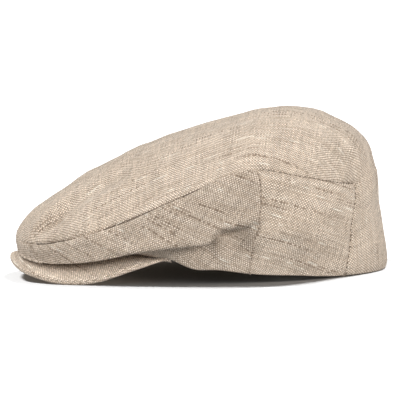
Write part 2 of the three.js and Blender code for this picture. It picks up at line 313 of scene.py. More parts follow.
def side_grid(first, last, grain):
    """A side panel between two stations. grain is the angle of the threads below the bulge line."""
    stations = stations_between(first, last, BULGE_LENGTH)
    down = np.concatenate([graded(37, fine_end=False), 1 + graded(32, fine_start=False, step=1.4)[1:]])
    share = (stations - first) / (last - first)
    share = share if last == EAR else 1 - share if first == EAR else 0 * share
    stations = stations[None, :] + ear_bow(down)[:, None] * share[None, :]
    grid = wall_point(stations, down[:, None])
    fall, along = lengths_along(grid), np.interp(stations, TABLE, BULGE_LENGTH)
    below = fall - fall[np.argmin(np.abs(down - 1))]
    c, s = turned(grain)
    return grid, np.stack([along * c + below * s, below * c - along * s], -1)


# How far from its left twin's place on the cloth a right-hand piece is cut.
CUT_APART = [311, 173]


def mirrored(grid, flat):
    return grid * [-1, 1, 1], flat + CUT_APART


def normals_of(grid):
    """Outward normals of a grid of points."""
    n = unit(np.cross(np.gradient(grid, axis=1), np.gradient(grid, axis=0)))
    inside = np.array([0, np.clip(grid[..., 1].mean(), -90, 40), 30.0])
    return n if np.sum(n * (grid - inside)) > 0 else -n


FRONT_GRAIN = 34
REAR_GRAIN = 9
PANELS = {"top_panel": top_grid()}
PANELS["front_side_panel_left"] = side_grid(0, EAR, FRONT_GRAIN)
PANELS["rear_side_panel_left"] = side_grid(EAR, REAR, REAR_GRAIN)
for part in ("front", "rear"):
    PANELS[f"{part}_side_panel_right"] = mirrored(*PANELS[f"{part}_side_panel_left"])

# ---- Seams: sampled lines with the normal of the skin on both sides ----


def seam_lines():
    down = np.linspace(0, 2, 90)
    stations = np.interp(np.arange(0, SEAM_LENGTH[-1], 1.0), SEAM_LENGTH, TABLE)
    lines = {
        "main": seam_at(stations),
        "ear": wall_point(EAR + ear_bow(down), down),
        "rear": wall_point(np.full_like(down, REAR), down),
    }
    both = {f"{name}_left": line for name, line in lines.items()}
    both.update({f"{name}_right": line * [-1, 1, 1] for name, line in lines.items()})
    both["front"] = wall_point(np.zeros_like(down), down)
    return both


def tree_of(points):
    tree = KDTree(len(points))
    for i, p in enumerate(points):
        tree.insert(p, i)
    tree.balance()
    return tree


SEAMS = seam_lines()


def seam_normals():
    """At each seam sample, the mean of the normals of the panels that meet there."""
    points, normals, owner = [], [], []
    for i, (grid, _) in enumerate(PANELS.values()):
        n = normals_of(grid)
        for border in (np.s_[0], np.s_[-1], np.s_[:, 0], np.s_[:, -1]):
            points.extend(grid[border])
            normals.extend(n[border])
            owner.extend([i] * len(grid[border]))
    tree = tree_of(points)
    found = {}
    for name, line in SEAMS.items():
        sums = []
        for p in line:
            by_panel = {}
            for _, i, _ in tree.find_range(p, 3.0):
                by_panel.setdefault(owner[i], []).append(normals[i])
            sums.append(sum(unit(np.sum(v, axis=0)) for v in by_panel.values()))
        found[name] = unit(np.stack([running_mean(values, 5) for values in unit(np.array(sums)).T], -1))
    return found


SEAM_NORMALS = seam_normals()
ALL_SEAM_POINTS = np.vstack(list(SEAMS.values()))
ALL_SEAM_NORMALS = np.vstack([SEAM_NORMALS[name] for name in SEAMS])
ALL_SEAM_ALONG = np.concatenate([lengths_along(line) for line in SEAMS.values()])
ALL_SEAM_KINDS = np.concatenate([[name.split("_")[0]] * len(line) for name, line in SEAMS.items()])
SEAM_TREE = tree_of(ALL_SEAM_POINTS)


def nearest_seam(points):
    """The number of the nearest seam sample to each point, and the distance to it."""
    hits = [SEAM_TREE.find(p)[1:] for p in points.reshape(-1, 3)]
    return (np.array(values).reshape(points.shape[:-1]) for values in zip(*hits))


def eased_normals(grid, normals, reach):
    """Normals that turn into the seams' own towards a seam; the nearest seam samples; distances."""
    index, distance = nearest_seam(grid)
    near = column(1 - smooth(distance, 0, reach))
    return unit(normals * (1 - near) + ALL_SEAM_NORMALS[index] * near), index, distance


# ---- The cloth's own relief: folds, puckers and soft waves ----

# The bag of cloth over the ear hangs down to this line: along the head, and height.
BAG_EDGE = np.array([
    [-150, 17], [-120, 14], [-105, 15.6], [-92, 16.6], [-80, 18.1], [-67, 19.8], [-54, 21.3], [-34, 23.3],
    [-20, 24.3], [-12.5, 24.7], [-9.8, 25.4], [-7.7, 27.8], [-5.8, 31.4], [-3, 33.9], [5.8, 35.2],
    [14.2, 36.9], [18.7, 38.6], [24, 40], [34, 43.5], [60, 48],
])
# How far the cloth under that line is tucked in, by its place along the head.
BAG_DEPTH = np.array([
    [-80, 0], [-60, 2.0], [-40, 4.4], [-15, 7.6], [-5, 10.4], [5, 9.2], [12, 6.0], [18, 2.6], [24, 1.3],
    [34, 0.5], [44, 0],
])
# Creases seen from the side: side (1 left, -1 right), half width, depth, and (along, height) points.
CREASES = [
    (1, 3.0, 4.6, [(-126, 28.5), (-121, 32.5), (-116.5, 36.8), (-112, 41.5), (-108, 46.8), (-102, 51.5)]),
    (1, 2.6, -2.4, [(-132, 29.5), (-125, 38), (-117, 46.5), (-108, 54)]),
    (1, 3.6, 2.8, [(-113, 41), (-106.3, 48.8), (-99.6, 52.9), (-86.5, 59.4), (-78.3, 64), (-62, 72)]),
    (1, 3.4, -0.9, [(-120, 29), (-113, 34.5), (-107, 41), (-101, 47)]),
    (1, 2.6, 2.0, [(-116, 30.5), (-109, 36.5), (-102, 44.2), (-96, 49)]),
    (1, 3.2, 2.4, [(13, 77.5), (17, 75.6), (21, 73), (26, 69.8), (33, 68)]),
    (1, 4.5, -1.1, [(4, 76), (12, 79.5), (20, 80), (28, 76)]),
    (1, 2.4, 1.0, [(80.5, 60), (80.5, 68), (79, 76), (74, 84), (66, 92)]),
    (1, 3.2, -0.9, [(85, 60), (84.5, 75), (80, 85), (73, 91.5)]),
    (1, 3.0, 1.6, [(-10, 24.5), (-13.6, 22.8), (-17.4, 20.2), (-21, 16.5)]),
    (1, 3.4, 1.2, [(20, 39), (30, 44), (42, 47), (55, 46)]),
    (1, 4.0, 0.8, [(-62, 24), (-50, 31), (-38, 37), (-24, 41)]),
    (1, 5.0, 0.9, [(24, 20), (36, 26), (50, 26), (64, 20)]),
    (1, 5.0, 0.8, [(28, 60), (44, 56), (60, 57), (74, 50)]),
    (1, 4.4, 0.7, [(34, 12), (46, 16), (60, 15), (72, 9)]),
    (-1, 3.4, 2.0, [(-124, 27), (-117, 34), (-110, 41), (-103, 49), (-96, 55)]),
    (-1, 3.0, 1.1, [(-112, 28), (-105, 36), (-99, 44), (-92, 53)]),
    (-1, 3.8, -1.0, [(-119, 30), (-110, 38), (-103, 47)]),
    (-1, 3.4, 2.0, [(12, 78), (17, 75), (22, 72.5), (29, 69)]),
    (-1, 3.0, 0.9, [(80, 61), (78, 76), (72, 86), (64, 93)]),
    (-1, 4.0, 1.0, [(24, 30), (38, 37), (52, 38), (66, 32)]),
    (-1, 4.2, 0.9, [(-70, 23), (-56, 32), (-42, 38), (-26, 43)]),
    (-1, 5.0, 0.8, [(30, 16), (44, 19), (58, 17), (70, 10)]),
]


def distance_in_plane(y, z, line):
    """Distance to a polyline in the (y, z) plane, and the share along it."""
    line = np.array(line, float)
    along = lengths_along(line)
    best, share = np.full(y.shape, np.inf), np.zeros(y.shape)
    for i in range(len(line) - 1):
        d = line[i + 1] - line[i]
        t = np.clip(((y - line[i, 0]) * d[0] + (z - line[i, 1]) * d[1]) / (d @ d), 0, 1)
        gap = np.hypot(y - line[i, 0] - t * d[0], z - line[i, 1] - t * d[1])
        nearer = gap < best
        best = np.where(nearer, gap, best)
        share = np.where(nearer, (along[i] + t * np.linalg.norm(d)) / along[-1], share)
    return best, share


def crease_relief(p):
    total = np.zeros(p.shape[:-1])
    for side, width, depth, line in CREASES:
        gap, share = distance_in_plane(p[..., 1], p[..., 2], line)
        here = smooth(p[..., 0] * side, 4, 22)
        fading = np.sin(np.pi * np.clip(share, 0.04, 0.96)) ** 0.6
        total -= depth * here * bell(gap, width) * fading
    return total


def bag_relief(p):
    """Cloth bagging over the ears: a rounded lip, and the tucked-in cloth under it."""
    x, y, z = p[..., 0], p[..., 1], p[..., 2]
    right = x < 0
    y_in, z_in = np.where(right, y * 1.06 - 4, y), np.where(right, z + 1.5, z)
    gap, _ = distance_in_plane(y_in, z_in, BAG_EDGE)
    edge = np.interp(y_in, BAG_EDGE[:, 0], BAG_EDGE[:, 1])
    below = np.where(z_in < edge, gap, -gap)
    depth = np.interp(y_in, BAG_DEPTH[:, 0], BAG_DEPTH[:, 1]) * np.where(right, 0.8, 1)
    height = np.maximum(edge - hem_height_at(y), 4)
    inside = smooth(below, -0.7, 1.9) * (1 - smooth(edge - z_in, 2.6, height))
    lip = 1.3 * bell(below + 3.6, 3.8) * np.minimum(depth / 4, 1)
    return np.where(np.abs(x) > 40, lip - depth * inside, 0)


def waves(p, size, seed):
    flat_points = (p.reshape(-1, 3) / size + [seed, -seed, 2 * seed]).tolist()
    return np.array([noise.noise(q) for q in flat_points]).reshape(p.shape[:-1])


# Where the crown is a little fuller or flatter along its middle: along the head, height, how much.
FULLNESS = [
    (-102, 63, 1.3), (-68, 80, 0.9), (34, 107, 1.5), (68, 101, -1.5), (83, 93, -1.2), (95, 55, 1.3),
    (97, 30, 0.9),
]
FULLNESS_SPREAD = 11
# The uneven lie of the whole cloth: height, size and seed of each layer of waves.
SOFT_WAVES = [(1.5, 48, 3.1), (0.8, 23, 7.7), (0.32, 10, 5.3), (0.12, 5, 9.1)]


def soft_relief(p):
    full = 0
    for y, z, lift in FULLNESS:
        full = full + lift * bell(np.hypot(p[..., 1] - y, p[..., 2] - z), FULLNESS_SPREAD)
    full = full * (1 - smooth(np.abs(p[..., 0]), 30, 60))
    return full + sum(height * waves(p, size, seed) for height, size, seed in SOFT_WAVES)


# How each seam lies: groove depth, its half width, the height of the puckers beside it.
SEAM_LOOK = {
    "main": (2.1, 0.7, 0.2), "ear": (1.0, 0.7, 0.24), "rear": (0.9, 0.7, 0.26), "front": (0.8, 0.8, 0.1),
}
PUCKER_PITCH = 7.3
# How strongly the main seam shows, by its place along the head.
MAIN_STRENGTH = np.array([
    [-150, 0.3], [-139, 0.35], [-128, 0.7], [-118, 1], [-20, 1], [-10, 0.35], [14, 0.25], [24, 0.5],
    [90, 0.5],
])


def seam_relief(index, distance):
    """A groove at the stitches, a soft roll 5 mm away, and puckers along it."""
    along = ALL_SEAM_ALONG[index]
    strength = np.interp(ALL_SEAM_POINTS[index, 1], MAIN_STRENGTH[:, 0], MAIN_STRENGTH[:, 1])
    roll = 0.4 * bell(distance - 5, 2.4) - 0.45 * bell(distance, 2.6)
    ripple = np.sin(along * 2 * np.pi / PUCKER_PITCH + 2 * np.sin(along / 9)) * np.exp(-distance / 4)
    ripple = ripple * smooth(distance, 0.3, 1.6)
    total = np.zeros(distance.shape)
    for kind, (depth, width, pucker) in SEAM_LOOK.items():
        scale = strength if kind == "main" else 1
        groove = roll - depth * np.exp(-((distance / width) ** 1.5))
        total = np.where(ALL_SEAM_KINDS[index] == kind, scale * groove + pucker * ripple, total)
    return total


def relief(grid):
    """The grid with its folds: calmer towards the hem, which is drawn in a little."""
    direction, index, distance = eased_normals(grid, normals_of(grid), 7)
    hem_gap = grid[..., 2] - hem_height_at(grid[..., 1])
    calm = 0.25 + 0.75 * smooth(hem_gap, 0, 10)
    turned_in = (0.6 + 1.7 * smooth(grid[..., 1], 40, 85)) * np.clip(1 - hem_gap / 9, 0, 1) ** 2
    height = (soft_relief(grid) + crease_relief(grid)) * calm + bag_relief(grid)
    return grid + direction * column(height + seam_relief(index, distance) - turned_in)


# ---- Sheets: relief, turned edges, thickness ----


def across_border(grid, border):
    """Unit vectors in the cloth that point out over a border."""
    if border in ("top", "bottom"):
        rows = grid if border == "bottom" else grid[::-1]
        return unit(rows[-1] - rows[-3])
    columns = grid if border == "right" else grid[:, ::-1]
    return unit(columns[:, -1] - columns[:, -3])


TIGHT = 0.12


def seam_rings(grid, normals, border, corner=0, hem_rows=0):
    """Rings past a seam border: the allowance, turned in and back, but tight at corners and hem."""
    at = {"top": np.s_[0], "left": np.s_[:, 0], "right": np.s_[:, -1]}[border]
    line, n, out = grid[at], normals[at].copy(), across_border(grid, border).copy()
    reach = np.ones((len(line), 1))
    if corner:
        for values in (n, out):
            values[:corner] = values[corner]
            values[-corner:] = values[-corner - 1]
        reach[:corner - 1] = reach[1 - corner:] = TIGHT
    if hem_rows:
        reach[-hem_rows:] = TIGHT
    return [line - n * 1.1 * reach + out * 0.12, line - (n * 2.0 + out * 0.5) * reach,
            line - (n * 2.3 + out * 2.6) * reach]


HEM_FOLD = 1.05


def hem_rings(grid, normals):
    """The hem: the cloth rolls round and goes up again on the inside."""
    down = across_border(grid, "bottom")
    base, n = grid[-1], normals[-1]
    rings = []
    for turn in (30, 60, 90, 120, 150, 180):
        c, s = turned(turn)
        rings.append(base - n * HEM_FOLD + (n * c + down * s) * HEM_FOLD)
    fall = lengths_along(grid[:, grid.shape[1] // 2][::-1])
    for rise in (1.2, 2.6, 4.2, 6.0):
        row = len(grid) - 1 - int(np.argmin(np.abs(fall - rise)))
        rings.append(grid[row] - normals[row] * 2 * HEM_FOLD)
    return rings


def add_rings(grid, rings, axis=0, at_end=True):
    rings = np.stack(rings if at_end else rings[::-1], axis=axis)
    return np.concatenate([grid, rings] if at_end else [rings, grid], axis)


def extended_flat(flat, before, after, axis):
    """Flat places for the rings, spaced on past the border."""
    flat = np.moveaxis(flat, axis, 0)
    head = [flat[0] + unit(flat[0] - flat[1]) * k for k in before[::-1]]
    tail = [flat[-1] + unit(flat[-1] - flat[-2]) * k for k in after]
    return np.moveaxis(np.array([*head, *flat, *tail]), 0, axis)


def linked(name, data):
    made = bpy.data.objects.new(name, data)
    bpy.context.scene.collection.objects.link(made)
    return made


def mesh_object(name, points, faces, flat):
    """A smooth-shaded mesh whose UV layer is each corner's place on the flat cloth, in metres."""
    mesh = bpy.data.meshes.new(name)
    mesh.from_pydata(place(points).tolist(), [], faces)
    layer = mesh.uv_layers.new(name="cloth")
    corners = np.zeros(len(mesh.loops), int)
    mesh.loops.foreach_get("vertex_index", corners)
    layer.data.foreach_set("uv", (np.asarray(flat)[corners] / 1000).astype(np.float32).ravel())
    mesh.polygons.foreach_set("use_smooth", [True] * len(mesh.polygons))
    mesh.validate()
    return linked(name, mesh)


def closed_sheet(name, outer, inner, flat):
    """A closed solid between two grids of the same size, quads all round."""
    height, width = outer.shape[:2]
    points = np.concatenate([outer.reshape(-1, 3), inner.reshape(-1, 3)])
    number = np.arange(height * width).reshape(height, width)
    a, b, c, d = number[:-1, :-1], number[:-1, 1:], number[1:, 1:], number[1:, :-1]
    quads = np.stack([a, b, c, d], -1).reshape(-1, 4)
    under = np.stack([a, d, c, b], -1).reshape(-1, 4) + height * width
    ring = np.concatenate([number[0, :-1], number[:-1, -1], number[-1, :0:-1], number[:0:-1, 0]])
    after = np.roll(ring, -1)
    rim = np.stack([after, ring, ring + height * width, after + height * width], -1)
    faces = np.concatenate([quads, under, rim])
    facing = np.cross(outer[1:, 1:] - outer[:-1, :-1], outer[1:, :-1] - outer[:-1, 1:])
    if np.sum(facing * (outer - inner)[:-1, :-1]) < 0:
        faces = faces[:, ::-1]
    return mesh_object(name, points, faces.tolist(), np.tile(flat.reshape(-1, 2), (2, 1)))


def thick_sheet(name, outer, flat, thickness):
    """A closed sheet from its outer face, of one thickness."""
    return closed_sheet(name, outer, outer - normals_of(outer) * thickness, flat)


CLOTH = 0.9
# How far past the border each ring of the allowance and of the hem lies on the flat cloth.
SEAM_REACH = (0.9, 1.8, 3.8)
HEM_REACH = np.cumsum([0.6] * 6 + [1.2, 1.4, 1.6, 1.8])


def crown_panel(name):
    """One outer panel: relief, turned seam edges, rolled hem."""
    grid, flat = PANELS[name]
    lifted = relief(grid)
    to_hem = np.linalg.norm(lifted - lifted[-1], axis=2)
    down = across_border(lifted, "bottom")
    lifted = lifted - down[None] * column(HEM_FOLD * np.exp(-to_hem / 4))
    skin_normals, _, _ = eased_normals(grid, normals_of(lifted), 2.5)
    hem = hem_rings(lifted, skin_normals)
    sheet, flat = add_rings(lifted, hem), extended_flat(flat, [], HEM_REACH, 0)
    n = normals_of(sheet)
    n[: len(lifted)] = skin_normals
    left, right = (seam_rings(sheet, n, border, hem_rows=len(hem) + 3) for border in ("left", "right"))
    sheet = add_rings(add_rings(sheet, left, 1, at_end=False), right, 1)
    flat = extended_flat(flat, SEAM_REACH, SEAM_REACH, 1)
    n = normals_of(sheet)
    n[: len(lifted), 3:-3] = skin_normals
    sheet = add_rings(sheet, seam_rings(sheet, n, "top", 4), at_end=False)
    flat = extended_flat(flat, SEAM_REACH, [], 0)
    return thick_sheet(name + "_cloth", sheet, flat, CLOTH)


# ---- Pieces inside the crown ----


def resampled(grid, flat, cut):
    """The same rows spread again between the top edge and a line that far above the bottom edge."""
    falls, both = lengths_along(grid).T, np.concatenate([grid, flat], -1)
    middle = falls[len(falls) // 2]
    out = np.stack([interpolated(middle / middle[-1] * (fall[-1] - cut), fall, both[:, c])
                    for c, fall in enumerate(falls)], 1)
    return out[..., :3], out[..., 3:]


def inner_sheet(name, grid, flat, depth, thickness, ripple=0.0):
    """A sheet that follows the outer cloth from inside, at that depth under it."""
    direction, _, distance = eased_normals(grid, normals_of(grid), 9)
    height = 0.8 * soft_relief(grid) + crease_relief(grid) * 0.8 + bag_relief(grid) - depth
    height += ripple * waves(grid, 17, 2.2) - 1.7 * bell(distance, 5)
    return thick_sheet(name, grid + direction * column(height), flat, thickness)


LINING_CUT = 5
LINING_DEPTH = 2.3


def add_lining():
    made = {}
    grid, flat = resampled(*PANELS["top_panel"], LINING_CUT)
    made["lining_top"] = inner_sheet("lining_top_cloth", grid, flat, LINING_DEPTH, 0.5, 0.5)
    whole = side_grid(0, REAR, 0)
    for side, (grid, flat) in {"left": whole, "right": mirrored(*whole)}.items():
        grid, flat = resampled(grid, flat, LINING_CUT)
        name = f"lining_side_{side}"
        made[name] = inner_sheet(name + "_cloth", grid, flat, LINING_DEPTH, 0.5, 0.4)
    grid, flat = PANELS["top_panel"]
    rows = len(graded(FRONT_DROP, fine_end=False))
    made["front_interlining"] = inner_sheet(
        "front_interlining_canvas", grid[5:rows:2, 5:-5:2], flat[5:rows:2, 5:-5:2], 1.35, 0.4)
    return made


# ---- Visor ----

VISOR_HALF = 1.9
RIM_ROLL = 1.3
CORNER_ANGLE = 68.3


def visor_corner(across):
    """0 over most of the visor, 1 where its corners slip under the hem."""
    return smooth(np.abs(across), 0.8, 1.0)


def visor_half(across):
    return VISOR_HALF * (1 - 0.75 * visor_corner(across))


def visor_middle(across, out):
    corner = visor_corner(across)
    root = hem_point(across * CORNER_ANGLE, 1.2 * corner, 1.6 * corner**2 - 0.35 - visor_half(across))
    rim = rim_at(np.abs(across) * (len(VISOR_RIM) - 1)) * sides(across)
    rim[..., 2] += visor_half(across)
    outward = unit((rim - root) * [1, 1, 0])
    rim = rim - outward * RIM_ROLL
    tucked = hem_point(across * CORNER_ANGLE, 1.9, 1.3 - visor_half(across))
    rim = rim + (tucked - rim) * column(corner**2)
    point = root + (rim - root) * column(out)
    point[..., 2] = root[..., 2] + (rim[..., 2] - root[..., 2]) * out**VISOR_SWEEP
    return point


def visor_grid():
    across = graded(230, step=1.6) * 2 - 1
    out = graded(55, fine_start=False, step=1.5)
    return visor_middle(*np.meshgrid(across, out)), across, out


# Where the covers' root tabs run up behind the hem: how far in from it, and how far above it.
TABS = {1: [(2.45, 4.5), (2.4, 2.0), (2.1, 0.2), (1.1, -0.3)], -1: [(2.6, 4.0), (2.55, 1.0), (2.3, -1.5)]}


def visor_cover(name, side):
    """The upper (side 1) or lower (side -1) cover, from behind the hem to the middle of the rim."""
    grid, across, out = visor_grid()
    half = visor_half(across)
    outward = unit(hem_point(across * CORNER_ANGLE, -1, 0) - hem_point(across * CORNER_ANGLE, 0, 0))
    away = unit((grid[-1] - grid[0]) * [1, 1, 0] + outward * 0.5)
    ripple = (0.2 * waves(grid, 21, 4.4) + 0.08 * waves(grid, 8, 1.9)) * (1 - visor_corner(across))
    face = grid + Z * column(side * half + ripple)
    rows = []
    for turn in (25, 50, 75, 90):
        c, s = turned(turn)
        rows.append(grid[-1] + away * column(RIM_ROLL * s * half / VISOR_HALF)
                    + Z * column(side * half * c + ripple[-1] * c))
    rows.append(rows[-1] - away * 0.5 + Z * side * 0.3)
    rows.append(rows[-1] - away * 1.4 + Z * side * 0.1)
    tab_rows = [hem_point(across * CORNER_ANGLE, inset, lift) for inset, lift in TABS[side]]
    if side < 0:
        tab_rows.append(hem_point(across * CORNER_ANGLE, 1.9, 0) - Z * column(half * 2 - 0.3))
    sheet = np.concatenate([np.array(tab_rows), face, np.array(rows)])
    length, along = lengths_along(sheet), lengths_along(grid[len(out) // 2])
    flat = np.stack([np.broadcast_to(along, length.shape), length], -1) + [500 * side, 90]
    thickness = column(0.35 + 0.35 * half / VISOR_HALF)[None]
    return closed_sheet(name, sheet, cover_inside(sheet, thickness, side), flat)


def cover_inside(sheet, thickness, side):
    """The cover's inner face, towards the board."""
    n = unit(np.cross(np.gradient(sheet, axis=1), np.gradient(sheet, axis=0)))
    middle = n[len(n) // 2, :, 2]
    return sheet - n * (1 if middle.sum() * side > 0 else -1) * thickness


# The part of the visor's grid that the board fills.
BOARD = np.s_[2:-3, 10:-10]


def visor_board():
    grid, across, out = visor_grid()
    across, out = (values[BOARD] for values in np.meshgrid(across, out))
    half = Z * column(np.minimum(0.8, visor_half(across) - 0.75))
    flat = np.stack([across * 110, out * 55], -1)
    return closed_sheet("visor_board_sheet", grid[BOARD] + half, grid[BOARD] - half, flat)


def add_visor():
    covers = {name: visor_cover(name + "_cloth", side)
              for name, side in (("visor_cover_upper", 1), ("visor_cover_lower", -1))}
    return covers | {"visor_board": visor_board()}


# ---- Head opening: sweatband, elastic, labels ----


BAND_RADIUS = 88
BAND_HEIGHT = 30
MM_PER_DEGREE = 1.58


def band_point(degrees, up, inset):
    """A point that far inside the band's face, at its share of the band's height."""
    return hem_point(degrees, 2.7 + 5.6 * up**0.85 + inset, 1.0 + up * BAND_HEIGHT)


def band_grid(first, last, shares, relief_of, step=1.5):
    angles = np.linspace(first, last, int((last - first) * MM_PER_DEGREE / step))
    a, up = np.meshgrid(angles, shares)
    along = np.radians(a) * BAND_RADIUS
    return band_point(a, up, relief_of(along, up)), np.stack([along, up * (BAND_HEIGHT + 0.5)], -1)


BAND_SHARES = np.concatenate([[0, 0.015, 0.04], np.linspace(0.08, 0.92, 14), [0.96, 0.985, 1.0]])
ELASTIC_FROM = 138


def add_band():
    def slack(along, up):
        return (0.35 * np.sin(along / 9.0 + 3 * up) + 0.25 * np.sin(along / 4.3 - 2 * up)) * up

    def gathers(along, up):
        swell = np.sin(np.pi * np.clip(up, 0, 1)) ** 0.5
        return 0.75 * (1 + np.sin(along * 2 * np.pi / 3.1 + 0.8 * np.sin(along / 5) + up)) / 2 * swell

    made = {}
    grid, flat = band_grid(-ELASTIC_FROM, ELASTIC_FROM, BAND_SHARES, slack)
    made["sweatband"] = thick_sheet("sweatband_cloth", grid, flat, 1.1)
    grid, flat = band_grid(ELASTIC_FROM + 0.25, 360 - ELASTIC_FROM - 0.25, BAND_SHARES, gathers, 0.5)
    made["rear_elastic"] = thick_sheet("rear_elastic_band", grid, flat, 1.0)
    return made


LABELS = {"size_label": (180, 9, 0.25, 0.85), "care_label": (116, 9, 0.1, 0.95)}


def add_labels():
    made = {}
    for name, (centre, half, low, high) in LABELS.items():
        def lift(along, up, low=low, high=high):
            share = (up - low) / (high - low)
            return 2.0 + 0.35 * np.sin(share * np.pi) + 0.25 * np.sin(along / 3.5)
        grid, flat = band_grid(centre - half, centre + half, np.linspace(low, high, 18), lift, 1.0)
        made[name] = thick_sheet(name + "_woven", grid, flat, 0.35)
    return made


# ---- Materials ----


class Graph:
    """A material's node tree, built by short calls."""

    def __init__(self, name):
        self.material = bpy.data.materials.new(name)
        self.material.use_nodes = True
        self.nodes, self.links = self.material.node_tree.nodes, self.material.node_tree.links
        self.shader = self.nodes["Principled BSDF"]

    def wire(self, value, socket):
        """A link, or a fixed value; a fixed colour leaves out its alpha."""
        if isinstance(value, bpy.types.NodeSocket):
            self.links.new(value, socket)
        else:
            socket.default_value = (*value, 1) if socket.type == "RGBA" else value

    def node(self, kind, inputs=(), output=0, **settings):
        """One output of a new node, whose inputs are given by name or in order."""
        made = self.nodes.new("ShaderNode" + kind)
        for key, value in settings.items():
            setattr(made, key, value)
        for key, value in inputs.items() if isinstance(inputs, dict) else enumerate(inputs):
            self.wire(value, made.inputs[key])
        return made.outputs[output]

    def math(self, operation, *inputs, clamp=False):
        return self.node("Math", inputs, operation=operation, use_clamp=clamp)

    def times(self, a, b):
        return self.math("MULTIPLY", a, b)

    def plus(self, a, b):
        return self.math("ADD", a, b)

    def times_plus(self, a, b, c):
        return self.math("MULTIPLY_ADD", a, b, c)

    def sine(self, value, rate):
        """A sine wave that goes from 0 to 1."""
        return self.times_plus(self.math("SINE", self.times(value, rate)), 0.5, 0.5)

    def ramp(self, value, low, high, to_low=0.0, to_high=1.0):
        keys = {"Value": value, "From Min": low, "From Max": high, "To Min": to_low, "To Max": to_high}
        return self.node("MapRange", keys, interpolation_type="SMOOTHSTEP")

    def mix(self, factor, a, b, blend="MIX"):
        return self.node("Mix", {0: factor, 6: a, 7: b}, 2, data_type="RGBA", blend_type=blend)

    def pair(self, x, y):
        return self.node("CombineXYZ", (x, y, 0.0))

    def noise(self, vector, scale, detail=2.0):
        return self.node("TexNoise", {"Vector": vector, "Scale": scale, "Detail": detail})

    def streaks(self, x, x_scale, thread, thread_scale, detail=1.0, offset=0.0):
        """Noise drawn out along a thread and new on each thread."""
        spot = self.pair(self.times_plus(x, x_scale, offset), self.times(thread, thread_scale))
        return self.noise(spot, 1.0, detail)

    def fibres(self, uv, along, across):
        """Fine noise drawn out along the cloth."""
        return self.noise(self.node("Mapping", {"Vector": uv, "Scale": (along, across, 1)}), 1.0)

    def cloth(self):
        """The place on the flat cloth, in metres, as a vector and as two numbers."""
        uv = self.node("UVMap", uv_map="cloth")
        return uv, self.node("SeparateXYZ", (uv,)), self.node("SeparateXYZ", (uv,), 1)

    def finish(self, colour, roughness, height, distance, **uniform):
        bump = self.node("Bump", {"Strength": 1.0, "Distance": distance, "Height": height})
        for key, value in {"Base Color": colour, "Roughness": roughness, "Normal": bump, **uniform}.items():
            self.wire(value, self.shader.inputs[key.replace("_", " ")])
        return self.material


def woven(g, pitch, wander=0.35):
    """A plain weave: which thread is on top, its height, and the numbers of both threads."""
    uv, u, v = g.cloth()
    x = g.plus(g.math("DIVIDE", u, pitch), g.ramp(g.noise(uv, 70), 0, 1, -wander * 2, wander * 2))
    y = g.plus(g.math("DIVIDE", v, pitch), g.ramp(g.noise(uv, 55), 0, 1, wander * 2, -wander * 2))
    column_number, row_number = g.math("FLOOR", x), g.math("FLOOR", y)

    def across(value):
        centred = g.math("ABSOLUTE", g.math("SUBTRACT", g.math("FRACT", value), 0.5))
        return g.math("SUBTRACT", 1.0, g.math("POWER", g.times(centred, 2.0), 2.6))

    def wave(value, number, sign):
        return g.times_plus(g.math("SINE", g.times(g.plus(value, number), math.pi)), 0.5 * sign, 0.5)

    weft = g.times(across(y), wave(x, row_number, 1))
    warp = g.times(across(x), wave(y, column_number, -1))
    return {"uv": uv, "x": x, "y": y, "row": row_number, "column": column_number,
            "height": g.math("MAXIMUM", weft, warp), "weft": g.math("GREATER_THAN", weft, warp)}


LINEN_PITCH = 0.00096
WEFT = ((0.66, 0.545, 0.43), (0.93, 0.81, 0.68))
WARP = ((0.275, 0.207, 0.15), (0.51, 0.40, 0.305))
# Painted shade: the weave is darkened towards this colour where the threads dip between each other.
GAP_PAINTED_SHADE = (0.10, 0.072, 0.05)
DARK_END = (0.27, 0.20, 0.145)
SLUB = (0.95, 0.87, 0.745)
# Where the noise along a thread makes it a slub, a dark end, or a dash of a dark end.
SLUB_FROM, DARK_FROM, DASH_FROM = (0.695, 0.745), (0.645, 0.76), (0.38, 0.55)
# How much the tone of each thread on top differs from the next.
FLOAT_CONTRAST = 0.32


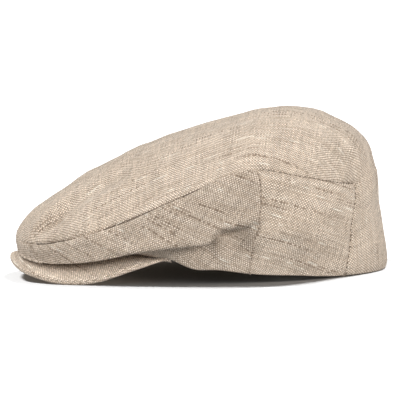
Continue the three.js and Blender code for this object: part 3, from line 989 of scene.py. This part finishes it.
def linen(name, offset=0.0, painted_light_scale=1.0):
    """Slubbed plain-weave linen: cream weft, tan warp, pale slubs and thin dark ends along the weft, with
    painted shade where the threads dip between each other, and its tone scaled by a factor that paints light
    on a whole panel when above 1 and shade when below 1.
    """
    g = Graph(name)
    w = woven(g, LINEN_PITCH)
    x, row = w["x"], w["row"]
    thread, end = g.streaks(x, 0.035, row, 5.71), g.streaks(w["column"], 7.13, w["y"], 0.05)
    slub = g.ramp(g.streaks(x, 0.056, row, 3.37, 0.5, offset), *SLUB_FROM)
    dark = g.ramp(g.streaks(x, 0.012, row, 9.19, 0.0, offset), *DARK_FROM)
    dark = g.times(dark, g.ramp(g.streaks(x, 0.41, row, 2.63, 0.0), *DASH_FROM))
    float_tone = g.node("TexWhiteNoise", (g.pair(w["column"], row),), noise_dimensions="2D")
    pairs = g.times_plus(g.math("FRACT", g.times(row, 0.5)), 0.3, -0.075)
    fibre, patch = g.fibres(w["uv"], 900, 5200), g.noise(w["uv"], 45, 3)
    weft = g.mix(g.math("ADD", g.ramp(thread, 0.28, 0.72), pairs, clamp=True), *WEFT)
    weft = g.mix(slub, g.mix(dark, weft, DARK_END), SLUB)
    warp = g.mix(g.ramp(end, 0.3, 0.7), *WARP)
    colour = g.mix(g.math("MAXIMUM", w["weft"], g.times(slub, 0.45)), warp, weft)
    # Painted shade between the threads: the colour goes darker where the weave is low.
    colour = g.mix(g.ramp(w["height"], 0.08, 0.62), GAP_PAINTED_SHADE, colour)
    tone = g.plus(g.ramp(fibre, 0.2, 0.8, 0.9, 1.08), g.ramp(patch, 0.25, 0.75, -0.05, 0.05))
    tone = g.times_plus(float_tone, FLOAT_CONTRAST, g.math("SUBTRACT", tone, FLOAT_CONTRAST / 2))
    # Painted light and shade on a whole panel: the tone is scaled up for painted light and down for painted
    # shade.
    tone = g.times(tone, painted_light_scale)
    colour = g.mix(1.0, colour, g.node("CombineColor", (tone, tone, tone)), "MULTIPLY")
    height = g.times_plus(fibre, 0.2, g.plus(g.times(w["height"], 0.8), g.times(slub, 0.5)))
    return g.finish(colour, g.ramp(fibre, 0, 1, 0.82, 0.95), height, 0.00016,
                    Specular_IOR_Level=0.25, Sheen_Weight=0.08, Sheen_Roughness=0.5)


def twill(name, light, dark, pitch, sheen, rough, distance=0.00006, slope=0.5):
    """A close twill: fine diagonal ribs over a thread pattern."""
    g = Graph(name)
    uv, u, v = g.cloth()
    x, y = g.math("DIVIDE", u, pitch), g.math("DIVIDE", v, pitch)
    rib = g.sine(g.times_plus(x, slope, y), 2 * math.pi / 3)
    height = g.times_plus(g.sine(x, 2 * math.pi), 0.35, rib)
    patch, yarn = g.noise(uv, 60, 4), g.fibres(uv, 300, 2600)
    factor = g.times_plus(yarn, 0.3, g.plus(g.times(height, 0.45), g.times(patch, 0.35)))
    colour = g.mix(g.ramp(factor, 0.25, 1.0), dark, light)
    return g.finish(colour, g.ramp(patch, 0.2, 0.8, rough - 0.06, rough + 0.06), height, distance,
                    Specular_IOR_Level=0.35, Sheen_Weight=sheen, Sheen_Roughness=0.4)


def canvas(name, light, gap, pitch):
    """An open plain weave, stiffened, with painted shade where its threads dip: the colour goes to the gap
    colour there.
    """
    g = Graph(name)
    w = woven(g, pitch, 0.2)
    thread = g.streaks(w["x"], 0.05, w["row"], 4.31)
    colour = g.mix(g.ramp(thread, 0.25, 0.75), tuple(c * 0.82 for c in light), light)
    # Painted shade between the threads: darker where the weave is low.
    colour = g.mix(g.ramp(w["height"], 0.15, 0.7), gap, colour)
    return g.finish(colour, g.ramp(thread, 0, 1, 0.8, 0.95), w["height"], 0.0002, Specular_IOR_Level=0.25)


def satin(name, light, dark):
    """A woven label: close floats across, fine sheen."""
    g = Graph(name)
    uv, _, v = g.cloth()
    streak = g.fibres(uv, 160, 2400)
    factor = g.times_plus(g.sine(v, 2 * math.pi / 0.0005), 0.4, g.times(streak, 0.7))
    colour = g.mix(g.ramp(factor, 0.1, 0.9), dark, light)
    return g.finish(colour, g.ramp(streak, 0, 1, 0.42, 0.6), factor, 0.00005,
                    Specular_IOR_Level=0.45, Sheen_Weight=0.15, Sheen_Roughness=0.35)


def moulded(name, light, dark):
    """The visor's board: matt sheet with a fine grain and faint rubbed patches."""
    g = Graph(name)
    uv = g.cloth()[0]
    grain, patch = g.noise(uv, 3200, 3), g.noise(uv, 90, 4)
    colour = g.mix(g.ramp(g.times_plus(grain, 0.4, g.times(patch, 0.6)), 0.3, 0.7), dark, light)
    return g.finish(colour, g.ramp(patch, 0.2, 0.8, 0.5, 0.68), grain, 0.00005, Specular_IOR_Level=0.4)


def thread_look(name, light, dark):
    """Sewing thread: two plies twisted together."""
    g = Graph(name)
    uv, u, v = g.cloth()
    ply, fuzz = g.sine(g.times_plus(u, 1.6, v), 2 * math.pi / 0.0009), g.noise(uv, 2500)
    colour = g.mix(g.ramp(g.times_plus(fuzz, 0.5, ply), 0.2, 1.2), dark, light)
    return g.finish(colour, g.ramp(fuzz, 0, 1, 0.6, 0.8), ply, 0.00006,
                    Specular_IOR_Level=0.35, Sheen_Weight=0.1)


# ---- Stitches ----

STITCH_PITCH = 3.5
# A thread piece's rings: share of its length, share of its radius.
CAPSULE = ((0.0, 0.0), (0.06, 0.62), (0.2, 0.94), (0.5, 1.0), (0.8, 0.94), (0.94, 0.62), (1.0, 0.0))
CAPSULE_SIDES = 6


def capsules(name, runs, radius):
    """Short round-ended thread pieces, each between two points, as one mesh."""
    points, faces, flat = [], [], []
    for start, end, up in runs:
        along = end - start
        length = np.linalg.norm(along)
        side = unit(np.cross(along / length, up))
        top = np.cross(side, along / length)
        first = len(points)
        for share, swell in CAPSULE:
            for k in range(CAPSULE_SIDES if swell else 1):
                a = 2 * math.pi * k / CAPSULE_SIDES
                around = side * math.cos(a) + top * math.sin(a)
                points.append(start + along * share + around * radius * swell)
                flat.append([share * length, a * radius])
        last = len(points) - 1
        ring = list(range(first + 1, last, CAPSULE_SIDES))
        for k in range(CAPSULE_SIDES):
            n = (k + 1) % CAPSULE_SIDES
            faces.append([first, ring[0] + n, ring[0] + k])
            faces.extend([a + k, a + n, b + n, b + k] for a, b in zip(ring, ring[1:]))
            faces.append([ring[-1] + k, ring[-1] + n, last])
    return mesh_object(name, points, faces, flat)


def seam_stitches(name, seam, first, last, depths, length, radius):
    """Sunk stitches from one distance along a seam to another, going from one depth to the other."""
    line, normals = SEAMS[seam], SEAM_NORMALS[seam]
    along, runs = lengths_along(line), []
    for number, at in enumerate(np.arange(first, min(last, along[-1]), STITCH_PITCH)):
        sway, up = 0.35 * math.sin(number * 2.4), unit(interpolated(at, along, normals))
        ends = interpolated(at + sway + np.array([0, length]), along, line)
        runs.append((*(ends + up * np.interp(at, (first, first + 60), depths)), up))
    return capsules(name, runs, radius)


def add_stitches():
    """All seam stitches: between two distances along a seam, at what depths, how long and how thick. They
    are real stitches, but their dark brown is painted shade for the needle holes and seam grooves, and the
    front pieces, 3.2 long at a 3.5 pitch, make a near-continuous dark cord that paints the shade line in the
    main seam's groove.
    """
    made = []
    for side in ("left", "right"):
        main = SEAMS[f"main_{side}"]
        start, fade, corner = np.interp((-127, -17, 25), main[:, 1], lengths_along(main))
        for name, seam, first, last, depths, length, radius in (
            ("painted_shade_cord_top_front", "main", start, fade, (-1.55, -2.0), 3.2, 0.3),
            ("stitches_top_rear", "main", corner, math.inf, (-1.05, -1.05), 1.3, 0.32),
            ("stitches_ear", "ear", 3, 60, (-1.15, -1.15), 1.2, 0.28),
            ("stitches_rear", "rear", 2, 60, (-1.0, -1.0), 1.3, 0.3),
        ):
            made.append(seam_stitches(
                f"{name}_{side}", f"{seam}_{side}", first, last, depths, length, radius))
    return made


BAND_STITCHES = 118


def band_stitches():
    """Two rows that hold the sweatband, on the side that faces the head."""
    runs = []
    for up in (0.085, 0.915):
        for a in np.linspace(-ELASTIC_FROM + 1, ELASTIC_FROM - 1, BAND_STITCHES):
            start, end = band_point(np.array([a - 0.72, a + 0.72]), up, 1.25)
            runs.append((start, end, unit(-start * [1, 1, 0])))
    return capsules("sweatband_stitches", runs, 0.22)


# ---- The whole cap ----

# Each CAD node's piece, left or right: material, slot, how it is held, what it lies on or hangs from.
PIECES = {
    "top_panel": ("shell", "linen_shell", "draped", "front_interlining_canvas"),
    "front_side_panel": ("front_shell_painted_shade", "linen_shell", "hung", "top_panel_cloth"),
    "rear_side_panel": ("rear_shell", "linen_shell", "hung", "top_panel_cloth"),
    "front_interlining": ("stiff", "interlining", "laid", "lining_top_cloth"),
    "lining_top": ("inside", "lining", "hung", "top_panel_cloth"),
    "lining_side": ("inside", "lining", "hung", "lining_top_cloth"),
    "visor_cover_upper": ("visor", "linen_visor", "stretched", "visor_board_sheet"),
    "visor_cover_lower": ("visor", "linen_visor", "stretched", "visor_board_sheet"),
    "visor_board": ("board", "visor_board", None, None),
    "sweatband": ("band", "sweatband", "laid", "lining_side_left_cloth"),
    "rear_elastic": ("elastic", "elastic", "gathered", "lining_top_cloth"),
    "size_label": ("label", "label", "laid", "rear_elastic_band"),
    "care_label": ("label", "label", "laid", "sweatband_cloth"),
}


def finish_piece(piece, material):
    piece.data.materials.append(material)
    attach(piece, "root")


def build():
    looks = {
        "shell": linen("linen_shell_cloth", 17.0),
        # The visor's linen is brightened by 1.1 as painted light; the front side panels' linen is darkened
        # by 0.88 as painted shade.
        "visor": linen("linen_visor_painted_light", 37.0, 1.1),
        "front_shell_painted_shade": linen("linen_front_painted_shade", 113.0, 0.88),
        "rear_shell": linen("linen_rear_cloth", 71.0),
        "inside": twill("lining_twill", (0.215, 0.175, 0.13), (0.115, 0.092, 0.067), 0.00042, 0.3, 0.55),
        "band": twill(
            "sweatband_twill", (0.105, 0.083, 0.06), (0.045, 0.035, 0.025), 0.0006, 0.1, 0.85, 0.00012),
        "elastic": twill(
            "elastic_rib", (0.1, 0.08, 0.058), (0.04, 0.031, 0.022), 0.0009, 0.1, 0.85, 0.0002, 0),
        "stiff": canvas("interlining_canvas", (0.78, 0.73, 0.63), (0.42, 0.38, 0.31), 0.0007),
        "board": moulded("visor_board_sheet", (0.74, 0.71, 0.65), (0.66, 0.63, 0.57)),
        "label": satin("label_satin", (0.88, 0.86, 0.79), (0.72, 0.70, 0.63)),
        # Painted shade: the sunk seam thread is dark brown to stand for the shade in the needle holes and
        # seam grooves.
        "thread": thread_look("sunk_thread_painted_shade", (0.20, 0.155, 0.115), (0.085, 0.063, 0.045)),
        "band_thread": thread_look("band_thread", (0.19, 0.155, 0.115), (0.08, 0.063, 0.046)),
    }
    crown = {name: crown_panel(name) for name in PANELS}
    for node, piece in (crown | add_lining() | add_visor() | add_band() | add_labels()).items():
        look, slot, held, under = PIECES[node.removesuffix("_left").removesuffix("_right")]
        finish_piece(piece, looks[look])
        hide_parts(node)
    for piece in add_stitches():
        finish_piece(piece, looks["thread"])
    finish_piece(band_stitches(), looks["band_thread"])


build()

# ---- Camera, floor and light: directions are compass degrees from the visor's side, and elevations ----

VIEW_AZIMUTH, VIEW_ELEVATION, VIEW_ROLL = 96.0, 4.5, 1.65
VIEW_DISTANCE = 1.8
VIEW_LENS = 244.7
AIM = (0.0, -26.0, 56.0)
AIM_ASIDE = (0.0020, -0.0090)
FLOOR_HALF = 60.0
AMBIENT = 0.36
# Name, kind, direction, elevation, strength, size (a sun's in degrees, a soft box's in metres), distance.
FLOOR_LAMPS = [("floor_front", "SUN", 335, 54, 6.9, 12, 1.3), ("floor_rear", "SUN", 232, 60, 6.9, 12, 1.3)]
CAP_LAMPS = [
    ("key", "SUN", 335, 52, 1.2, 8, 1.3),
    ("nose_box", "AREA", 35, 36, 4.4, 0.3, 1.3),
    ("low_box", "AREA", 58, 14, 3.4, 0.4, 1.3),
    ("side_box", "AREA", 98, 22, 3.3, 0.5, 1.3),
    ("rear_box", "AREA", 142, 14, 9.6, 0.5, 1.3),
    ("back_box", "AREA", 210, 38, 3.5, 0.8, 1.5),
]


def direction(azimuth, elevation):
    a, e = math.radians(azimuth), math.radians(elevation)
    return Vector((math.sin(a) * math.cos(e), -math.cos(a) * math.cos(e), math.sin(e)))


def add_camera():
    back, right = direction(VIEW_AZIMUTH, VIEW_ELEVATION), direction(VIEW_AZIMUTH + 90, 0)
    up, roll = back.cross(right), math.radians(VIEW_ROLL)
    tilted_right = right * math.cos(roll) - up * math.sin(roll)
    tilted_up = right * math.sin(roll) + up * math.cos(roll)
    aim = Vector(place([AIM])[0]) + tilted_right * AIM_ASIDE[0] + tilted_up * AIM_ASIDE[1]
    data = bpy.data.cameras.new("camera")
    data.lens, data.sensor_width = VIEW_LENS, 36
    data.clip_start, data.clip_end = 0.1, 200
    camera = linked("camera", data)
    turn = Matrix((tilted_right, tilted_up, back)).transposed()
    camera.matrix_world = Matrix.Translation(aim + back * VIEW_DISTANCE) @ turn.to_4x4()
    bpy.context.scene.camera = camera


def add_floor():
    mesh = bpy.data.meshes.new("floor")
    corners = [(x * FLOOR_HALF, y * FLOOR_HALF, 0) for x, y in ((-1, -1), (1, -1), (1, 1), (-1, 1))]
    mesh.from_pydata(corners, [], [(0, 1, 2, 3)])
    material = bpy.data.materials.new("floor_white")
    material.use_nodes = True
    shader = material.node_tree.nodes["Principled BSDF"]
    shader.inputs["Base Color"].default_value = (0.45, 0.45, 0.45, 1)
    shader.inputs["Roughness"].default_value = 0.95
    shader.inputs["Specular IOR Level"].default_value = 0.0
    mesh.materials.append(material)
    floor = linked("floor", mesh)
    floor.visible_diffuse = False
    return floor


def add_lamp(floor, state, name, kind, azimuth, elevation, strength, size, distance):
    """A sun or a round soft box aimed at the cap; state says if it lights only the floor or all else."""
    data = bpy.data.lights.new(name, kind)
    data.energy = strength
    if kind == "SUN":
        data.angle = math.radians(size)
    else:
        data.shape, data.size = "DISK", size
    lamp, back = linked(name, data), direction(azimuth, elevation)
    lamp.location = Vector((0, 0, 0.05)) + back * distance
    lamp.rotation_euler = back.to_track_quat("Z", "Y").to_euler()
    group = bpy.data.collections.new(name + "_reach")
    group.objects.link(floor)
    lamp.light_linking.receiver_collection = group
    group.collection_objects[0].light_linking.link_state = state


def add_world():
    """White behind the object, and a softer even light on it."""
    world = bpy.data.worlds.new("studio")
    world.use_nodes = True
    nodes, links = world.node_tree.nodes, world.node_tree.links
    background = nodes["Background"]
    background.inputs["Color"].default_value = (1, 1, 1, 1)
    path = nodes.new("ShaderNodeLightPath")
    strength = nodes.new("ShaderNodeMapRange")
    strength.inputs["To Min"].default_value = AMBIENT
    strength.inputs["To Max"].default_value = 1.0
    links.new(path.outputs["Is Camera Ray"], strength.inputs["Value"])
    links.new(strength.outputs[0], background.inputs["Strength"])
    bpy.context.scene.world = world
    view = bpy.context.scene.view_settings
    view.view_transform = "Standard"
    view.look = "None"


def add_studio():
    floor = add_floor()
    add_world()
    for lamps, state in ((FLOOR_LAMPS, "INCLUDE"), (CAP_LAMPS, "EXCLUDE")):
        for lamp in lamps:
            add_lamp(floor, state, *lamp)


add_camera()
add_studio()
